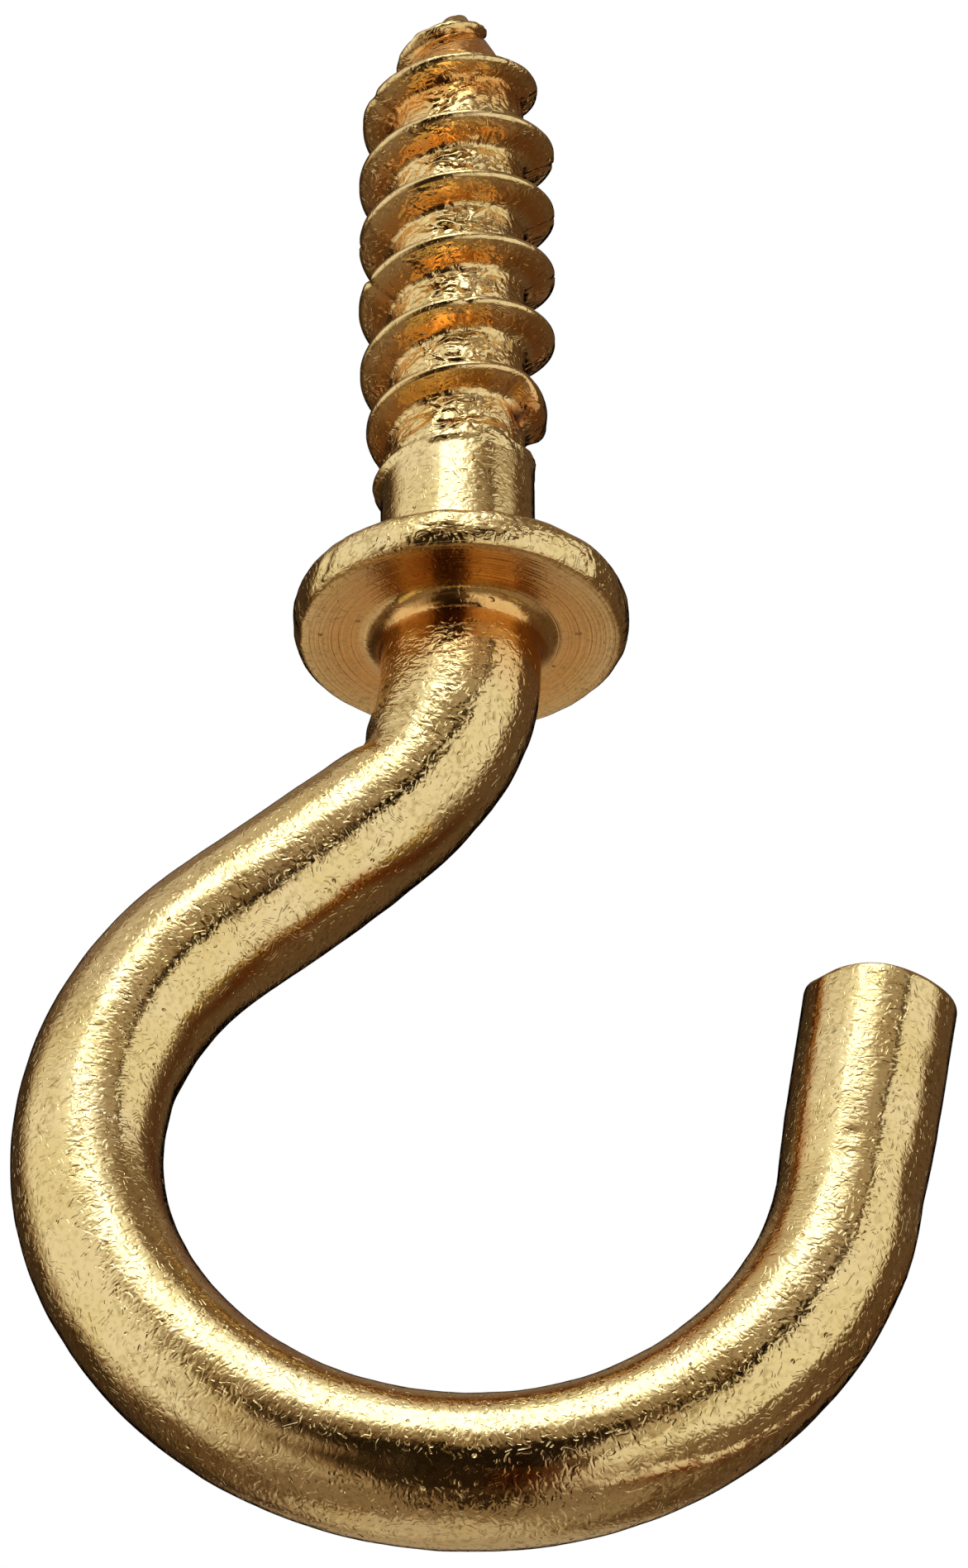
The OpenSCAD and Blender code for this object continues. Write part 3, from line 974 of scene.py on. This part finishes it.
def brass_material():
    """Tumbled brass: small scratches and pits all over, creases where it is crushed, and uneven colour with
    painted shade and reflection.
    """
    material = bpy.data.materials.new("tumbled_brass")
    t = Tree(material)
    rod = t.attribute("rod", "Vector")
    rough, shade_and_oxide, painted_shade_and_patch = (t.attribute(name, "Fac") for name in ("rough", "shade_and_oxide", "painted_shade_and_patch"))
    turned, rings = turning_marks(t, rod)
    bump = t.node("Bump", {"Height": relief(t, rod, rough, rings), "Strength": 1.0, "Distance": MM})
    satin = t.math("MULTIPLY_ADD", turned, TURNED_SATIN, t.between(t.grain(rod, 1.6, 3.0), 0.3, 0.7, *SATIN))
    shader = t.node("BsdfPrincipled", {"Base Color": tint(t, rod, shade_and_oxide, painted_shade_and_patch), "Metallic": 1.0,
                                       "Roughness": satin, "Normal": bump.outputs[0]})
    t.node("OutputMaterial", {"Surface": shader.outputs[0]})
    return material


hook = build_hook()
hook.data.materials.append(brass_material())
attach(hook, "root")
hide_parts(NODE)


# ---------------- studio, in metres
FLOOR_Z = -0.5
FLOOR_REACH = 4.0
FLOOR_SIDES = 64
FLOOR_COLOUR = (0.86, 0.86, 0.85, 1)
FLOOR_ROUGH = 0.8
TENT_R = 0.45
TENT_ROWS = 121
TENT_COLUMNS = 240
WALL_LEVEL = 0.94
# The softbox: its bearing, elevation and distance, the half angles it fills across and up, and its power
LAMP_BEARING = -4
LAMP_ELEVATION = 48
LAMP_R = 0.41
LAMP_SPREAD = (14.5, 16.5)
LAMP_POWER = 0.28

# A light tent stands round the hook. Its walls are white, with these soft openings and shades in them, the
# later ones over the earlier: the left, right, lower and upper edges, each with how softly it fades, then how
# far the opening leans to the right as it goes up, and how bright it is. All but the last two are in degrees.
# Bearing 0 is towards -Y, and 90 towards +X.
SHADES = [
    ("round_lamp", (-36, 22), (28, 22), (27, 12), (76, 16), 0, 1.2),
    ("left_high", (-125, 40), (-30, 20), (42, 20), (92, 20), 0, 0.58),
    ("top", (-60, 20), (100, 20), (70, 16), (100, 16), 0, 0.72),
    ("front_gap", (-26, 16), (37, 6), (-4, 12), (25, 12), 0.4, 0.27),
    ("front_top", (-30, 16), (32, 5), (-12, 6), (12, 14), 0.4, 0.12),
    ("front", (-25, 20), (10, 7), (-64, 12), (6, 12), 0, 0.01),
    ("front_left_low", (-50, 50), (-10, 16), (-74, 26), (-14, 30), 0, 0.02),
    ("front_step", (12, 4), (30, 10), (-30, 5), (-11, 4), 0, 0.5),
    ("front_right_low", (0, 20), (18, 5), (-74, 24), (-30, 5), 0, 0.08),
    ("front_right_floor", (14, 12), (66, 12), (-80, 20), (-47, 16), 0, 0.55),
    ("below", (-180, 10), (180, 10), (-100, 16), (-60, 16), 0, 0.2),
    ("below_front", (-100, 30), (10, 30), (-100, 16), (-58, 16), 0, 0.02),
    ("below_right", (63, 12), (94, 14), (-64, 14), (-41, 12), 0, 0.18),
    ("left_low", (-150, 30), (-50, 30), (-80, 26), (-34, 32), 0, 0.2),
    ("right_gap", (18, 18), (54, 6), (8, 10), (48, 14), 1.1, 0.37),
    ("edge_low", (22, 5), (31, 3), (-10, 6), (14, 8), 0.4, 0.0),
    ("edge_high", (46, 5), (53, 4), (10, 6), (44, 14), 1.1, 0.03),
    ("right_high", (42, 20), (130, 20), (36, 13), (80, 18), 0, 0.16),
    ("back_right", (96, 18), (192, 24), (-62, 16), (66, 16), 0, 0.085),
    ("back_right_floor", (98, 16), (190, 16), (-72, 14), (-45, 14), 0, 0.24),
    ("back_right_low", (86, 12), (120, 16), (-62, 24), (-18, 24), 0, 0.13),
    ("back_left", (-172, 40), (-98, 36), (-26, 20), (62, 20), 0, 0.04),
    ("back_left_low", (-146, 28), (-88, 28), (-46, 18), (-16, 18), 0, 0.09),
    ("back_low", (-185, 18), (-132, 18), (-72, 12), (-34, 12), 0, 0.5),
    ("back_low_top", (-190, 18), (-160, 18), (-36, 12), (8, 12), 0, 0.40),
    ("behind", (152, 14), (212, 14), (4, 14), (64, 14), 0, 0.0),
    ("back_top", (100, 24), (252, 24), (46, 14), (100, 14), 0, 0.2),
]
# Colour of a wall: the powers of its level by which red, green and blue change, so that a dark wall is brown.
# Below the darkest level the hue stays the same.
WARMTH = (-0.17, 0.04, 0.27)
DARKEST = 0.09


def direction(bearing, elevation):
    """Unit vector: bearing 0 is towards -Y, and 90 towards +X."""
    b, e = math.radians(bearing), math.radians(elevation)
    return Vector((math.sin(b) * math.cos(e), -math.cos(b) * math.cos(e), math.sin(e)))


def inside(distance, fade):
    """0 outside an edge, 1 inside it, and smooth across its fade."""
    return ease(distance, -fade / 2, fade / 2)


def wall_level(bearing, elevation):
    """How bright the tent's wall is in each direction."""
    level = np.full(bearing.shape, WALL_LEVEL)
    for _, left, right, low, high, lean, shade in SHADES:
        middle = (left[0] + right[0]) / 2 + lean * (elevation - (low[0] + high[0]) / 2)
        half = (right[0] - left[0]) / 2
        off_middle = apart(bearing, middle)
        within = inside(elevation - low[0], low[1]) * inside(high[0] - elevation, high[1])
        # an opening that goes all the way round has no left and right edge
        if half < 180:
            within = within * inside(half + off_middle, left[1]) * inside(half - off_middle, right[1])
        level = level + (shade - level) * within
    return level


def warm(level):
    """Colour of a wall: white where it is lit, and brown where it falls dark."""
    depth = np.maximum(level, DARKEST)
    return np.stack([level * depth ** power for power in WARMTH] + [np.ones_like(level)], axis=-1)


def mesh_object(name, points, faces, material):
    """Makes a plain mesh object of the studio."""
    mesh = bpy.data.meshes.new(name)
    mesh.from_pydata(points, [], faces)
    mesh.materials.append(material)
    made = bpy.data.objects.new(name, mesh)
    bpy.context.scene.collection.objects.link(made)
    return made


def wall_material():
    """Shines with the colours that the tent's points hold, but lights nothing."""
    material = bpy.data.materials.new("tent_wall")
    t = Tree(material)
    shine = t.node("Emission", {"Color": t.attribute("wall", "Color"), "Strength": 1.0})
    t.node("OutputMaterial", {"Surface": shine.outputs[0]})
    material.cycles.emission_sampling = "NONE"
    return material


def tent():
    """The light tent round the hook, which is a sphere."""
    bearing, elevation = np.meshgrid(angles(TENT_COLUMNS) - 180, np.linspace(-90, 90, TENT_ROWS))
    points = [direction(b, e) * TENT_R for b, e in zip(bearing.flat, elevation.flat)]
    corner = np.arange(TENT_ROWS * TENT_COLUMNS).reshape(TENT_ROWS, TENT_COLUMNS)
    following = np.roll(corner, -1, axis=1)
    faces = np.stack([corner[:-1], following[:-1], following[1:], corner[1:]], axis=-1).reshape(-1, 4)
    made = mesh_object("tent", points, faces.tolist(), wall_material())
    colour = made.data.color_attributes.new("wall", "FLOAT_COLOR", "POINT")
    colour.data.foreach_set("color", warm(wall_level(bearing, elevation)).ravel())
    # only reflections see it, so that any camera looks in from outside
    made.visible_camera = False
    made.visible_diffuse = False
    made.visible_shadow = False


def softbox():
    """The one lamp, over the hook and turned to it."""
    lamp = bpy.data.lights.new("softbox", "AREA")
    lamp.shape = "RECTANGLE"
    lamp.size, lamp.size_y = (2 * LAMP_R * math.tan(math.radians(half)) for half in LAMP_SPREAD)
    lamp.energy = LAMP_POWER
    made = bpy.data.objects.new("softbox", lamp)
    bpy.context.scene.collection.objects.link(made)
    towards = direction(LAMP_BEARING, LAMP_ELEVATION)
    made.location = towards * LAMP_R
    made.rotation_mode = "QUATERNION"
    made.rotation_quaternion = towards.to_track_quat("Z", "Y")
    made.visible_camera = False


def floor():
    """A round pale floor."""
    material = bpy.data.materials.new("pale_floor")
    t = Tree(material)
    paint = t.node("BsdfPrincipled", {"Base Color": FLOOR_COLOUR, "Roughness": FLOOR_ROUGH})
    t.node("OutputMaterial", {"Surface": paint.outputs[0]})
    rim = [direction(bearing, 0) * FLOOR_REACH + Vector((0, 0, FLOOR_Z)) for bearing in angles(FLOOR_SIDES)]
    mesh_object("floor", rim, [list(range(FLOOR_SIDES))], material)


def white_world():
    world = bpy.data.worlds.new("studio")
    t = Tree(world)
    white = t.node("Background", {"Color": (1, 1, 1, 1), "Strength": 1.0})
    t.node("OutputWorld", {"Surface": white.outputs[0]})
    return world


floor()
tent()
softbox()
bpy.context.scene.world = white_world()

# ---------------- camera
LENS = 238.6
SENSOR = 36
CLIP_START, CLIP_END = 0.01, 20
CAMERA = Vector((14.29, -166.84, -121.10)) * MM
TARGET = Vector((0.448, 0.0, -4.422)) * MM
ROLL = -0.296

camera = bpy.data.objects.new("camera", bpy.data.cameras.new("camera"))
bpy.context.scene.collection.objects.link(camera)
camera.data.lens, camera.data.sensor_width = LENS, SENSOR
camera.data.clip_start, camera.data.clip_end = CLIP_START, CLIP_END
camera.location = CAMERA
look = (TARGET - CAMERA).to_track_quat("-Z", "Y").to_matrix()
camera.rotation_mode = "QUATERNION"
camera.rotation_quaternion = (look @ Matrix.Rotation(math.radians(ROLL), 3, "Z")).to_quaternion()
bpy.context.scene.camera = camera

scene = bpy.context.scene
scene.view_settings.view_transform = "Standard"
